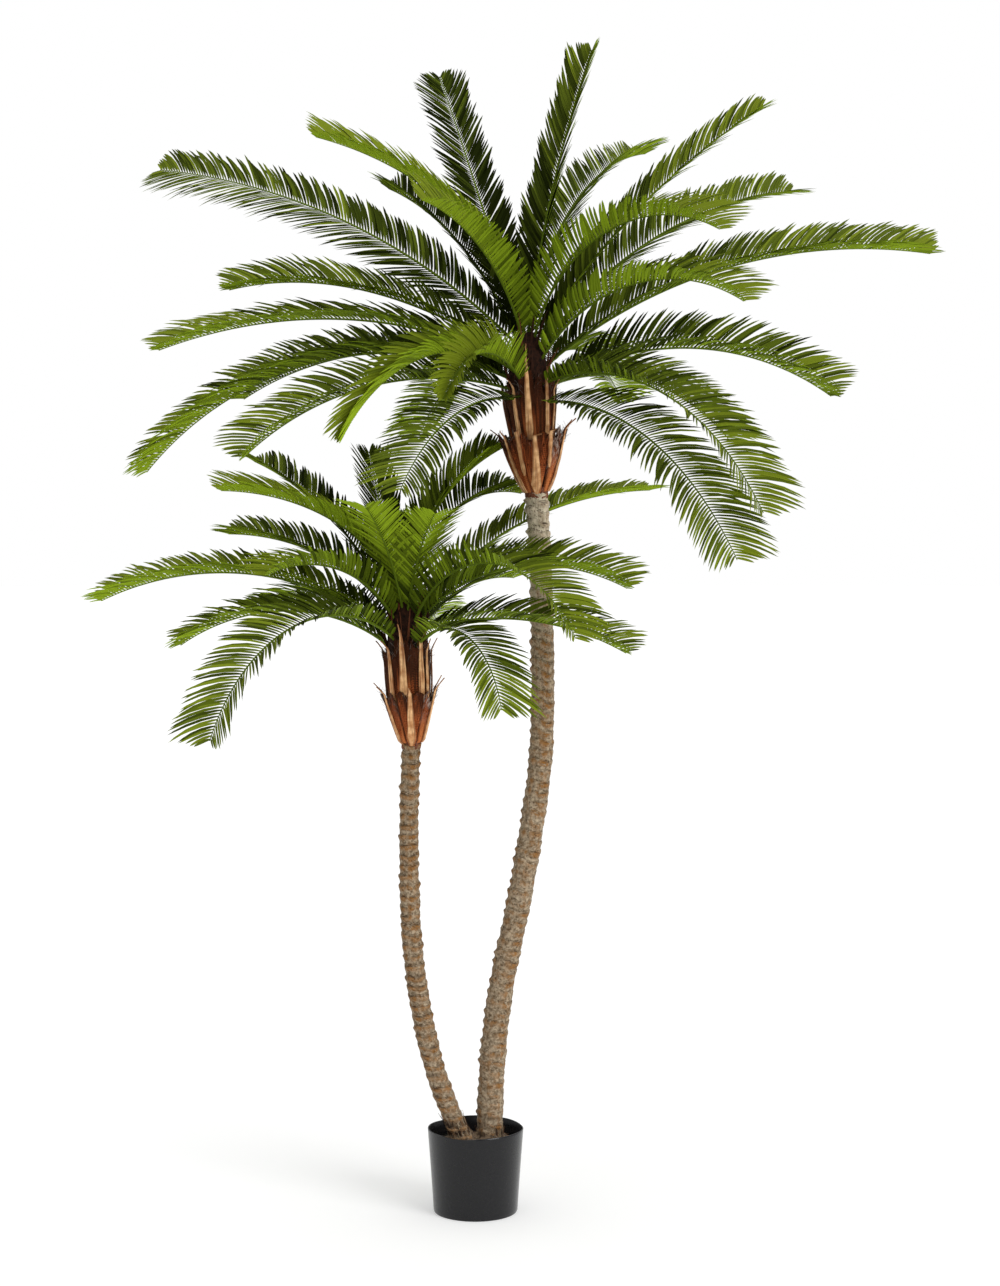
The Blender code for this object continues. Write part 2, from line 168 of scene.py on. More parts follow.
def patterned(paint, shader, pattern, settings, colours, bump, strength, rough=None):
    """Mottles a material between two colours with a pattern, and roughens its surface."""
    nodes = paint.node_tree.nodes
    links = paint.node_tree.links
    grain = nodes.new("ShaderNodeGroup")
    grain.node_tree = pattern
    for socket, value in settings.items():
        grain.inputs[socket].default_value = value
    mix = nodes.new("ShaderNodeMix")
    mix.data_type = "RGBA"
    mix.inputs["A"].default_value = (*colours[0], 1.0)
    mix.inputs["B"].default_value = (*colours[1], 1.0)
    links.new(grain.outputs["Mask"], mix.inputs["Factor"])
    links.new(mix.outputs["Result"], shader.inputs["Base Color"])
    relief = nodes.new("ShaderNodeBump")
    relief.inputs["Strength"].default_value = strength
    relief.inputs["Distance"].default_value = bump
    links.new(grain.outputs["Height"], relief.inputs["Height"])
    links.new(relief.outputs["Normal"], shader.inputs["Normal"])
    if rough:
        spread = nodes.new("ShaderNodeMapRange")
        spread.inputs["To Min"].default_value = rough[0]
        spread.inputs["To Max"].default_value = rough[1]
        links.new(grain.outputs["Mask"], spread.inputs["Value"])
        links.new(spread.outputs["Result"], shader.inputs["Roughness"])


def grained(paint, shader, scale, colours, bump, rough=None):
    """Patterns a material with the shared fine grain."""
    patterned(paint, shader, fine_grain, {"Scale": scale, "Softness": 0.6}, colours, bump, 0.6, rough)


def smooth_and_paint(piece, angle, paint):
    """Smooths the piece at hand across edges flatter than an angle in degrees, and paints it."""
    bpy.ops.object.shade_smooth_by_angle(angle=math.radians(angle))
    piece.data.materials.append(paint)


def seat(piece, slot, *nodes):
    """Fixes a finished piece to the plant and lets it stand for its CAD nodes."""
    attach(piece, "root")
    if nodes:
        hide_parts(*nodes)


POT_FOOT_RADIUS = 0.0825
POT_PROFILE = (
    (0.0848, 0.0007), (0.0860, 0.0035), (0.0865, 0.0100), (0.0884, 0.0400), (0.0906, 0.0700),
    (0.0927, 0.1000), (0.0949, 0.1300), (0.0963, 0.1500), (0.0974, 0.1650), (0.0976, 0.1690),
    (0.0970, 0.1698), (0.0959, 0.1698), (0.0954, 0.1690), (0.0941, 0.1500), (0.0906, 0.1000),
    (0.0846, 0.0125), (0.0830, 0.0030),
)
ROUND_UP_TO = 0.10
WAVY_HEIGHT = 0.07
EDGE_SAG = 0.0024
OUT_OF_ROUND = 0.006

bpy.ops.object.select_all(action="DESELECT")
bpy.ops.mesh.primitive_circle_add(vertices=144, radius=POT_FOOT_RADIUS, fill_type="NGON")
pot = bpy.context.object
pot.name = "pot_shell"
bpy.ops.object.mode_set(mode="EDIT")
radius_now = POT_FOOT_RADIUS
height_now = 0.0
for radius, height in POT_PROFILE:
    bpy.ops.mesh.extrude_region_move(TRANSFORM_OT_translate={"value": (0.0, 0.0, height - height_now)})
    bpy.ops.transform.resize(value=(radius / radius_now, radius / radius_now, 1.0))
    radius_now = radius
    height_now = height
bpy.ops.mesh.normals_make_consistent(inside=False)
bpy.ops.object.mode_set(mode="OBJECT")
for vertex in pot.data.vertices:
    if vertex.co.z > ROUND_UP_TO:
        lift = (vertex.co.z - ROUND_UP_TO) / WAVY_HEIGHT
        way = math.atan2(vertex.co.y, vertex.co.x)
        sag = 0.5 + 0.5 * math.sin(3.0 * way + 0.9)
        vertex.co.z -= EDGE_SAG * lift * sag ** 3
        vertex.co.x *= 1.0 + OUT_OF_ROUND * lift * math.sin(2.0 * way + 0.6)
        vertex.co.y *= 1.0 + OUT_OF_ROUND * lift * math.sin(3.0 * way + 2.1)
pot_paint, pot_shader = new_paint("charcoal_plastic", (0.006, 0.006, 0.007), 0.30, 0.30)
grained(pot_paint, pot_shader, 160.0, ((0.005, 0.005, 0.006), (0.007, 0.007, 0.008)), 0.0002, (0.18, 0.28))
pot_shader.inputs["Sheen Weight"].default_value = 0.05
smooth_and_paint(pot, 40.0, pot_paint)
seat(pot, "pot_plastic", "pot")


# Pot fill: cast cement stained dark, poured round the feet of both stems to weight the pot.
# Little of it shows under the bark, so the CAD solid keeps its shape and only gets a finish.
fill_paint, fill_shader = new_paint("stained_cement", (0.022, 0.019, 0.016), 0.95, 0.2)
grained(fill_paint, fill_shader, 240.0, ((0.012, 0.011, 0.010), (0.040, 0.032, 0.025)), 0.0012)
fill_node = frame["nodes"]["pot_fill"]
fill_node.data.materials.clear()
fill_node.data.materials.append(fill_paint)


# Stems: moulded bark over a steel rod, grey beige with ring scars and files of brown leaf
# scars. Each is one tall tube drawn along the stem's own bend, standing in the fill.
STEM_FOOT = 0.1373

# Of each stem: x and y at its foot, height of its top, radius at the foot and at the top, lean to
# the back in degrees, and its slope to the right in degrees at a few heights.
TALL_STEM = (0.0287, 0.014, 1.469, 0.0265, 0.0222, 0.8,
             ((0.13, 0), (0.30, 4), (0.55, 13), (0.68, 10), (0.85, 8), (1.0, 1), (1.47, -4)))
SHORT_STEM = (-0.0215, -0.014, 0.959, 0.0218, 0.0182, -1.2,
              ((0.13, -25), (0.24, -21), (0.34, -13), (0.50, -7), (0.62, -2), (0.96, 3)))


def between(x, pairs):
    """The value at x on the straight lines through the pairs."""
    if x <= pairs[0][0]:
        return pairs[0][1]
    for (x0, y0), (x1, y1) in zip(pairs, pairs[1:]):
        if x <= x1:
            return y0 + (y1 - y0) * (x - x0) / (x1 - x0)
    return pairs[-1][1]


def stem_centre(stem, height):
    """Centre of a stem at a height, from its bends."""
    x = stem[0]
    for step in range(24):
        z = STEM_FOOT + (height - STEM_FOOT) * (step + 0.5) / 24
        x += math.tan(math.radians(between(z, stem[6]))) * (height - STEM_FOOT) / 24
    return Vector((x, stem[1] + math.tan(math.radians(stem[5])) * (height - STEM_FOOT), height))


def stem_radius(stem, height):
    """Taper with a slight swelling every few leaf scars."""
    share = (height - STEM_FOOT) / (stem[2] - STEM_FOOT)
    radius = stem[3] + (stem[4] - stem[3]) * share
    return radius * (1.0 + 0.025 * math.sin(height * 61.0 + stem[0] * 40.0))


RING_PITCH = 0.0205
RING_RISE = 0.0024
SCAR_RISE = 0.0032
PIT_DEPTH = 0.0007


def bark_relief(way, height, files, salt):
    """Relief in metres, scar share, and crack share that also holds painted shade, at a place on the bark.
    """
    ring = height / RING_PITCH + 0.16 * math.sin(way + salt) + 0.10 * math.sin(2.0 * way - 2.0 * salt)
    ring += 0.30 * noise.noise(Vector((math.cos(way), math.sin(way), height * 21.0 + salt)))
    number = math.floor(ring)
    phase = ring - number
    around = Vector((1.7 * math.cos(way), 1.7 * math.sin(way), number * 3.7 + salt))
    swell = 0.55 + 0.75 * noise.noise(around)
    shelf = min(1.0, phase / 0.62) ** 1.4 * min(1.0, (1.0 - phase) / 0.16)
    relief = RING_RISE * shelf * max(0.15, swell)
    scar = 0.0
    scar_line = 0.0
    for place, strength in files:
        luck = math.sin(number * 12.9898 + place * 78.233) * 43758.5453
        luck -= math.floor(luck)
        turn = (way - place - 0.5 * (luck - 0.5) + math.pi) % math.tau - math.pi
        wide = math.exp(-(turn / (0.32 + 0.20 * luck)) ** 2)
        body = min(1.0, max(0.0, (phase - 0.20) / 0.34)) * min(1.0, max(0.0, (0.80 - phase) / 0.10))
        size = wide * body * strength * (0.45 + 0.75 * luck)
        relief += SCAR_RISE * size
        scar = max(scar, size)
        scar_line = max(scar_line, wide * strength * (0.45 + 0.75 * luck))
    wrinkle = noise.noise(Vector((3.0 * math.cos(way), 3.0 * math.sin(way), height * 420.0)))
    pebble = noise.noise(Vector((9.0 * math.cos(way), 9.0 * math.sin(way), height * 330.0 + 9.0)))
    relief += 0.0005 * wrinkle + 0.0006 * pebble
    patch = noise.noise(Vector((2.4 * math.cos(way), 2.4 * math.sin(way), height * 48.0 + salt)))
    grit = noise.noise(Vector((12.0 * math.cos(way), 12.0 * math.sin(way), height * 520.0)))
    flake = min(1.0, max(0.0, (patch + 0.35 * grit - 0.06) * 4.0)) * (0.25 + 0.75 * shelf)
    # The grooves between rings and a line along the top edge of each leaf scar are darkened as painted
    # shade, besides the real pits.
    groove = max(0.0, 1.0 - abs(phase - 0.97) / 0.075) * (0.30 + 0.9 * max(0.0, swell) + 1.2 * scar)
    under = max(0.0, 1.0 - abs(phase - 0.80) / 0.09) * scar_line
    pit_and_shade = max(0.0, pebble - 0.30) * 2.6 + groove * (0.5 + 0.9 * max(0.0, wrinkle + 0.2)) + 0.9 * under
    scar = max(scar * (1.35 + 2.8 * grit), 0.85 * flake)
    relief -= PIT_DEPTH * min(1.0, pit_and_shade)
    return relief, min(0.95, max(0.0, scar)), min(0.92, max(0.0, pit_and_shade))


def tint_by_attribute(paint, shader, source, colour):
    """Lays a colour over a material where the piece's own attribute says so."""
    nodes = paint.node_tree.nodes
    links = paint.node_tree.links
    told = nodes.new("ShaderNodeAttribute")
    told.attribute_name = source
    mix = nodes.new("ShaderNodeMix")
    mix.data_type = "RGBA"
    mix.inputs["B"].default_value = (*colour, 1.0)
    links.new(told.outputs["Fac"], mix.inputs["Factor"])
    links.new(shader.inputs["Base Color"].links[0].from_socket, mix.inputs["A"])
    links.new(mix.outputs["Result"], shader.inputs["Base Color"])


bark_paint, bark_shader = new_paint("moulded_bark", (0.24, 0.18, 0.12), 0.9, 0.2)
grained(bark_paint, bark_shader, 150.0, ((0.110, 0.075, 0.042), (0.400, 0.315, 0.215)), 0.0016)
tint_by_attribute(bark_paint, bark_shader, "pale", (0.62, 0.535, 0.400))
tint_by_attribute(bark_paint, bark_shader, "scar", (0.225, 0.094, 0.018))
# Painted shade: near-black brown in the pits and cracks, in the grooves between rings and along the scars'
# top edges.
tint_by_attribute(bark_paint, bark_shader, "pit_and_shade", (0.038, 0.019, 0.009))


def banded_tube(name, sides, cuts):
    """A closed upright tube of radius and height 1, its wall cut into level bands."""
    bpy.ops.object.select_all(action="DESELECT")
    bpy.ops.mesh.primitive_cylinder_add(vertices=sides, radius=1.0, depth=1.0, end_fill_type="NGON")
    piece = bpy.context.object
    piece.name = name
    bpy.ops.object.mode_set(mode="EDIT")
    bpy.ops.mesh.select_mode(type="EDGE")
    for number in cuts:
        bpy.ops.mesh.select_all(action="DESELECT")
        bpy.ops.object.mode_set(mode="OBJECT")
        points = piece.data.vertices
        for edge in piece.data.edges:
            low, high = (points[k].co for k in edge.vertices)
            edge.select = abs(low.z - high.z) > 1e-4
        bpy.ops.object.mode_set(mode="EDIT")
        bpy.ops.mesh.subdivide(number_cuts=number)
    bpy.ops.object.mode_set(mode="OBJECT")
    return piece


def bark_stem(name, stem, files, salt, cuts, worn_from):
    """The bark of a stem with ring scars and files of leaf scars, paler and worn near its top."""
    piece = banded_tube(name, 90, cuts)
    scars = piece.data.attributes.new("scar", "FLOAT", "POINT")
    pit_shade_layer = piece.data.attributes.new("pit_and_shade", "FLOAT", "POINT")
    pales = piece.data.attributes.new("pale", "FLOAT", "POINT")
    levels = {}
    for k, vertex in enumerate(piece.data.vertices):
        height = STEM_FOOT + (stem[2] - STEM_FOOT) * (vertex.co.z + 0.5)
        level = round(height, 5)
        if level not in levels:
            levels[level] = (stem_centre(stem, height), stem_radius(stem, height) - 0.0005)
        centre, radius = levels[level]
        way = math.atan2(vertex.co.y, vertex.co.x)
        relief, scar, pit_and_shade = bark_relief(way, height, files, salt)
        aged = min(1.0, max(0.0, (height - worn_from) / 0.25))
        scars.data[k].value = scar * (1.0 - 0.55 * aged) * (0.75 + 0.5 * noise.noise(vertex.co * 3.0))
        pit_shade_layer.data[k].value = min(0.92, pit_and_shade * (1.0 + 0.6 * aged))
        blotch = noise.noise(vertex.co * 9.0 + centre * 40.0)
        faded = 0.14 * max(0.0, noise.noise(centre * 14.0))
        pales.data[k].value = aged * (0.92 + 0.9 * blotch) + faded
        radius += relief * (1.0 + 0.5 * aged)
        vertex.co = centre + Vector((radius * math.cos(way), radius * math.sin(way), 0.0))
    smooth_and_paint(piece, 60.0, bark_paint)
    seat(piece, "bark", name.replace("bark_", "stem_"))


# Files of leaf scars up each stem: heading in radians and strength.
TALL_FILES = ((5.15, 1.0), (0.9, 0.7), (2.9, 0.8), (3.9, 0.35))
SHORT_FILES = ((4.1, 1.5), (4.95, 1.1), (5.7, 0.95), (0.8, 1.0), (2.5, 1.1))
bark_stem("bark_tall", TALL_STEM, TALL_FILES, 1.3, (30, 20), 1.15)
bark_stem("bark_short", SHORT_STEM, SHORT_FILES, 4.4, (25, 15), 1.0)


# Root mound: torn bark and chips glued on the fill round the two feet, brown and grey. A lumpy
# disc that rises to the stems, with loose shreds of bark lying on it and against them.
def feet_distance(x, y):
    """Distance in metres to the nearer stem's skin at the mound."""
    near = []
    for stem in (TALL_STEM, SHORT_STEM):
        centre = stem_centre(stem, 0.147)
        near.append(math.hypot(x - centre.x, y - centre.y) - stem[3])
    return min(near)


MOUND_RADIUS = 0.077
MOUND_X = 0.002
MOUND_FOOT = 0.1374
MOUND_EDGE = 0.003
SHREDS = 560

bpy.ops.object.select_all(action="DESELECT")
bpy.ops.mesh.primitive_circle_add(
    vertices=96, radius=MOUND_RADIUS, fill_type="NGON", location=(MOUND_X, 0.0, MOUND_FOOT)
)
mound = bpy.context.object
mound.name = "bark_mound"
bpy.ops.object.transform_apply(location=True, rotation=True, scale=True)
bpy.ops.object.mode_set(mode="EDIT")
bpy.ops.mesh.extrude_region_move(TRANSFORM_OT_translate={"value": (0.0, 0.0, MOUND_EDGE)})
for ring in range(26):
    bpy.ops.mesh.inset(thickness=0.0029)
bpy.ops.mesh.normals_make_consistent(inside=False)
bpy.ops.object.mode_set(mode="OBJECT")
for vertex in mound.data.vertices:
    if vertex.co.z > MOUND_FOOT + 0.5 * MOUND_EDGE:
        out = math.hypot(vertex.co.x - MOUND_X, vertex.co.y) / MOUND_RADIUS
        far = max(0.0, feet_distance(vertex.co.x, vertex.co.y))
        rise = 0.0075 * (1.0 - out ** 2) + 0.010 * math.exp(-far / 0.012)
        lumps = noise.noise(vertex.co * 90.0) + 0.6 * noise.noise(vertex.co * 210.0)
        vertex.co.z += rise * min(1.0, (1.0 - out) * 6.0) * (1.0 + 0.5 * lumps) + 0.0008 * lumps
mound_paint, mound_shader = new_paint("torn_bark", (0.15, 0.10, 0.07), 0.92)
grained(mound_paint, mound_shader, 150.0, ((0.035, 0.020, 0.012), (0.20, 0.135, 0.080)), 0.0015)
smooth_and_paint(mound, 35.0, mound_paint)
seat(mound, "bark_mound", "root_mound")


def joined_mesh(name, points, faces, paints, slots=None):
    """One mesh object from arrays of points and faces."""
    mesh = bpy.data.meshes.new(name)
    mesh.from_pydata([tuple(p) for p in points], [], faces)
    for paint in paints:
        mesh.materials.append(paint)
    if slots:
        mesh.polygons.foreach_set("material_index", slots)
    piece = bpy.data.objects.new(name, mesh)
    scene.collection.objects.link(piece)
    return piece


def add_shred(points, faces, start, way, curl, length, width, thick, steps=5):
    """A thin tapering closed strand from a point, bending by curl as it goes."""
    first = len(points)
    spot = start.copy()
    side = way.cross(Vector((0.31, -0.44, 0.84))).normalized()
    for k in range(steps + 1):
        share = k / steps
        bent = (way + curl * share).normalized()
        face = side.cross(bent).normalized()
        half = 0.5 * width * (1.0 - 0.85 * share)
        points += [spot - side * half, spot + face * thick * 0.5,
                   spot + side * half, spot - face * thick * 0.5]
        spot = spot + bent * (length / steps)
    for k in range(steps):
        for m in range(4):
            a = first + 4 * k + m
            b = first + 4 * k + (m + 1) % 4
            faces.append((a, b, b + 4, a + 4))
    faces.append(tuple(first + m for m in (3, 2, 1, 0)))
    faces.append(tuple(first + 4 * steps + m for m in range(4)))


luck = random.Random(5)
points, faces, slots = [], [], []
for k in range(SHREDS):
    stem = (TALL_STEM, SHORT_STEM)[k % 2]
    way = luck.uniform(0.0, math.tau)
    upright = k % 5 < 3 and (k % 2 or k % 3 == 0)
    lift = luck.uniform(0.0, 0.040 if k % 2 else 0.012) if upright else 0.0
    centre = stem_centre(stem, 0.142 + lift)
    far = stem[3] + (0.0008 if upright else 0.002 + abs(luck.gauss(0.0, 0.010)))
    spot = centre + Vector((far * math.cos(way), far * math.sin(way), 0.0))
    if math.hypot(spot.x, spot.y) > 0.074:
        continue
    if upright:
        climb = stem_centre(stem, 0.2) - stem_centre(stem, 0.142)
        leaning = climb.normalized() + Vector((luck.gauss(0, 0.12), luck.gauss(0, 0.12), 0.0))
        curl = Vector((math.cos(way), math.sin(way), 0.0)) * luck.uniform(0.0, 0.22)
        length = luck.uniform(0.010, 0.030)
    else:
        spot.z = 0.1435 + 0.009 * math.exp(-(far - stem[3]) / 0.008)
        leaning = Vector((luck.uniform(-1, 1), luck.uniform(-1, 1), luck.uniform(-0.10, 0.12)))
        curl = Vector((0.0, 0.0, luck.uniform(-0.4, 0.0)))
        length = luck.uniform(0.006, 0.018)
    before = len(faces)
    add_shred(points, faces, spot, leaning.normalized(), curl, length, luck.uniform(0.0018, 0.0048), 0.0009)
    slots += [luck.choice((0, 0, 1, 2) if upright else (0, 1, 1, 2))] * (len(faces) - before)
shred_paints = []
for name, colour in (
    ("shred_dark", (0.040, 0.022, 0.013)),
    ("shred_brown", (0.125, 0.068, 0.034)),
    ("shred_grey", (0.20, 0.15, 0.095)),
):
    shred_paints.append(new_paint(name, colour, 0.9, 0.2)[0])
shreds = joined_mesh("bark_shreds", points, faces, shred_paints, slots)
seat(shreds, "bark_mound")


# Leaf sheath cores: the imported brown fibre that the frond stalks are pushed into, drawn in to
# a point above the stem. A wrinkled skin over each CAD core, its brown darkened nearly to black as
# painted shade for the inside of the crown.

# Of each core: its lean to the right in degrees, and its radius at a few heights.
TALL_CORE = (-4.0, ((0.0, 0.0190), (0.05, 0.0290), (0.10, 0.0370), (0.16, 0.0420), (0.22, 0.0430),
                    (0.27, 0.0390), (0.31, 0.0300), (0.33, 0.0180)))
SHORT_CORE = (-3.0, ((0.0, 0.0155), (0.04, 0.0235), (0.09, 0.0340), (0.14, 0.0395), (0.19, 0.0400),
                     (0.24, 0.0350), (0.275, 0.0250), (0.29, 0.0140)))


def core_frame(stem, lean):
    """Foot of the core and its leaning axis."""
    foot = stem_centre(stem, stem[2]) + Vector((0.0, 0.0, 0.0003))
    axis = Vector((math.sin(math.radians(lean)), 0.0, math.cos(math.radians(lean))))
    across = Vector((0.0, 1.0, 0.0)).cross(axis).normalized()
    return foot, axis, across, axis.cross(across)


def on_core(around, angle, radius, height):
    """Point beside the core's axis at a heading in degrees, a radius and a height."""
    foot, axis, across, away = around
    side = across * math.cos(math.radians(angle)) + away * math.sin(math.radians(angle))
    return foot + axis * height + side * radius


# Painted shade: the fibre's brown is darkened nearly to black, standing in for the shade inside the crown.
shaded_fibre_paint, shaded_fibre_shader = new_paint("crown_fibre", (0.05, 0.018, 0.009), 0.9, 0.15)
grained(shaded_fibre_paint, shaded_fibre_shader, 130.0, ((0.005, 0.003, 0.002), (0.042, 0.014, 0.007)), 0.0015)


def fibre_core(crown, stem, core):
    """A ridged fibre plug over the CAD core."""
    around = core_frame(stem, core[0])
    piece = banded_tube("fibre_core_" + crown, 72, (40,))
    for vertex in piece.data.vertices:
        height = 0.001 + (core[1][-1][0] - 0.001) * (vertex.co.z + 0.5)
        way = math.degrees(math.atan2(vertex.co.y, vertex.co.x))
        ridge = noise.noise(Vector((4.5 * vertex.co.x, 4.5 * vertex.co.y, height * 14.0)))
        radius = between(height, core[1]) + 0.0016 * ridge
        vertex.co = on_core(around, way, radius, height)
    smooth_and_paint(piece, 60.0, shaded_fibre_paint)
    seat(piece, "crown_fibre", crown + "_crown_core")


fibre_core("tall", TALL_STEM, TALL_CORE)
fibre_core("short", SHORT_STEM, SHORT_CORE)


# Collars: a cuff of red brown bark cloth glued round each joint of stem and sheath. Its lower
# edge is ragged, and it covers the wedge where the leaning core meets the upright stem.
collar_paint, collar_shader = new_paint("collar_cloth", (0.16, 0.055, 0.030), 0.9, 0.15)
grained(collar_paint, collar_shader, 210.0, ((0.080, 0.026, 0.013), (0.255, 0.098, 0.055)), 0.0010)


def collar(name, stem, core, foot_radius):
    """A closed ragged cuff from the stem's last ring up to the foot of the sheath."""
    piece = banded_tube(name, 72, (12,))
    top = core_frame(stem, core[0])[0]
    under = stem_centre(stem, stem[2] - 0.012)
    for vertex in piece.data.vertices:
        share = vertex.co.z + 0.5
        way = math.atan2(vertex.co.y, vertex.co.x)
        ragged = noise.noise(Vector((3.0 * math.cos(way), 3.0 * math.sin(way), 2.0)))
        ragged += 0.6 * noise.noise(Vector((9.0 * math.cos(way), 9.0 * math.sin(way), 7.0)))
        rise = -0.011 + 0.0035 * ragged + (0.023 - 0.0035 * ragged) * share
        lean = Vector((math.tan(math.radians(core[0])) * max(0.0, rise), 0.0, rise))
        centre = under.lerp(top, min(1.0, (rise + 0.012) / 0.012))
        crease = noise.noise(Vector((4.0 * math.cos(way), 4.0 * math.sin(way), share * 5.0)))
        radius = stem[4] + 0.0017 + (foot_radius - stem[4]) * max(0.0, rise) / 0.012
        radius += 0.0009 * crease - 0.0012 * max(0.0, 0.12 - share) / 0.12
        skin = Vector((centre.x + radius * math.cos(way), centre.y + radius * math.sin(way), top.z))
        vertex.co = skin + lean
    smooth_and_paint(piece, 60.0, collar_paint)
    seat(piece, "leaf_sheath")


collar("collar_tall", TALL_STEM, TALL_CORE, 0.0268)
collar("collar_short", SHORT_STEM, SHORT_CORE, 0.0226)


# Leaf sheaths: cut leaf bases of pressed palm fibre, red brown with painted shade towards their
# torn rims and painted shadow in the slits at their sides, set in two rows round each core and
# stapled at the foot. Every base is its own curved sheet.
def weave_group():
    """Crossed fibres on a piece's UV map, with a mask of the threads and their height."""
    group, inlet, outlet = new_pattern("crossed_fibres", "Threads")
    nodes = group.nodes
    links = group.links
    place = nodes.new("ShaderNodeTexCoord")
    waves = []
    for turn, stretch in ((9.0, 1.0), (84.0, 1.7)):
        aim = nodes.new("ShaderNodeMapping")
        aim.inputs["Rotation"].default_value = (0.0, 0.0, math.radians(turn))
        aim.inputs["Scale"].default_value = (stretch, stretch, 1.0)
        links.new(place.outputs["UV"], aim.inputs["Vector"])
        wave = nodes.new("ShaderNodeTexWave")
        wave.inputs["Distortion"].default_value = 4.0
        wave.inputs["Detail"].default_value = 3.0
        wave.inputs["Detail Scale"].default_value = 1.8
        links.new(aim.outputs["Vector"], wave.inputs["Vector"])
        links.new(inlet.outputs["Threads"], wave.inputs["Scale"])
        waves.append(wave)
    most = nodes.new("ShaderNodeMath")
    most.operation = "MAXIMUM"
    links.new(waves[0].outputs["Fac"], most.inputs[0])
    links.new(waves[1].outputs["Fac"], most.inputs[1])
    spread = nodes.new("ShaderNodeMapRange")
    spread.inputs["From Min"].default_value = 0.50
    spread.inputs["From Max"].default_value = 1.0
    links.new(most.outputs["Value"], spread.inputs["Value"])
    links.new(spread.outputs["Result"], outlet.inputs["Mask"])
    links.new(most.outputs["Value"], outlet.inputs["Height"])
    return group


crossed_fibres = weave_group()

web_paint, web_shader = new_paint("sheath_web", (0.12, 0.03, 0.011), 0.9, 0.06)
patterned(web_paint, web_shader, crossed_fibres, {"Threads": 6.0},
          ((0.030, 0.007, 0.003), (0.470, 0.112, 0.032)), 0.0012, 0.8)
tint_by_attribute(web_paint, web_shader, "rust", (0.600, 0.190, 0.060))
# Painted shade towards the rims, and painted shadow in the slits at the side seams of the bases.
tint_by_attribute(web_paint, web_shader, "rim_shade", (0.036, 0.012, 0.006))
tint_by_attribute(web_paint, web_shader, "rim_grey", (0.52, 0.42, 0.36))

strip_paint, strip_shader = new_paint("sheath_rib", (0.55, 0.31, 0.15), 0.6, 0.3)
grained(strip_paint, strip_shader, 60.0, ((0.520, 0.225, 0.078), (0.950, 0.580, 0.285)), 0.0006)
tint_by_attribute(strip_paint, strip_shader, "stain", (0.230, 0.072, 0.020))

# Height and radius pairs that a row of leaf bases lies along, from the foot of the core.
TALL_LOWER = ((0.0, 0.0226), (0.012, 0.0300), (0.03, 0.0390), (0.072, 0.0550), (0.12, 0.0690),
              (0.145, 0.0780))
TALL_UPPER = ((0.05, 0.0350), (0.085, 0.0400), (0.12, 0.0460), (0.14, 0.0490), (0.18, 0.0550),
              (0.24, 0.0575))
SHORT_LOWER = ((0.0, 0.0180), (0.006, 0.0245), (0.05, 0.0395), (0.088, 0.0510), (0.104, 0.0550),
               (0.13, 0.0620))
SHORT_UPPER = ((0.04, 0.0300), (0.07, 0.0370), (0.10, 0.0460), (0.13, 0.0480), (0.17, 0.0490),
               (0.21, 0.0510))

# Leaf bases of a row, the innermost first: heading, foot height, rim height, half width at the
# foot and at the rim in degrees, widths of the tan rib at its foot, belly and rim in mm, length
# of its bare spike in mm, and how much of the rim is torn to a net. The narrowest bases are
# cut down to their rib.
NARROWEST_SHEET = 10
TALL_BASES = (
    (TALL_UPPER, (
        (90, 0.050, 0.236, 36, 34, 9, 13, 6, 20, 0.5), (20, 0.055, 0.226, 36, 34, 9, 12, 6, 22, 0.7),
        (162, 0.055, 0.230, 36, 34, 9, 12, 6, 20, 0.6), (236, 0.055, 0.214, 34, 31, 9, 12, 7, 22, 0.5),
        (309, 0.052, 0.232, 34, 31, 9, 13, 7, 22, 0.4), (324, 0.085, 0.206, 9, 7, 5, 6, 4, 26, 0.0),
        (264, 0.108, 0.243, 19, 17, 8, 16, 8, 60, 0.2),
    )),
    (TALL_LOWER, (
        (92, 0.000, 0.122, 40, 34, 11, 16, 7, 18, 0.6), (22, 0.001, 0.126, 40, 34, 10, 13, 6, 20, 0.8),
        (163, 0.001, 0.120, 40, 34, 10, 13, 6, 16, 0.5), (214, 0.001, 0.118, 38, 33, 10, 13, 7, 12, 0.4),
        (338, 0.001, 0.126, 38, 33, 10, 13, 6, 20, 1.0), (271, -0.003, 0.116, 20, 33, 6, 21, 8, 2, 0.1),
        (242, 0.036, 0.125, 9, 7, 5, 9, 11, 2, 0.0), (303, 0.050, 0.123, 9, 7, 4, 9, 11, 2, 0.0),
    )),
)
SHORT_BASES = (
    (SHORT_UPPER, (
        (88, 0.040, 0.206, 36, 34, 8, 11, 6, 20, 0.5), (14, 0.045, 0.186, 36, 34, 8, 10, 5, 24, 0.7),
        (160, 0.045, 0.188, 36, 34, 8, 10, 5, 22, 0.6), (232, 0.045, 0.192, 32, 30, 10, 15, 7, 20, 0.4),
        (304, 0.042, 0.206, 34, 31, 10, 17, 8, 22, 0.4), (322, 0.060, 0.186, 10, 8, 6, 9, 5, 26, 0.0),
        (261, 0.094, 0.212, 20, 18, 12, 17, 8, 34, 0.3),
    )),
    (SHORT_LOWER, (
        (94, 0.000, 0.106, 40, 34, 10, 14, 6, 18, 0.6), (24, 0.001, 0.108, 40, 34, 9, 11, 5, 24, 0.9),
        (165, 0.001, 0.106, 40, 34, 9, 11, 5, 18, 0.6), (212, 0.000, 0.102, 38, 33, 9, 11, 6, 18, 0.6),
        (336, 0.001, 0.106, 38, 33, 9, 12, 6, 24, 0.9), (274, -0.004, 0.104, 22, 33, 7, 17, 8, 12, 0.1),
    )),
)
SHEET_THICK = 0.0009
STRIP_THICK = 0.0021
WEB_CREST = ((0.0, -0.010), (0.20, -0.007), (0.45, 0.002), (0.62, 0.006), (0.80, -0.002), (1.0, -0.030))


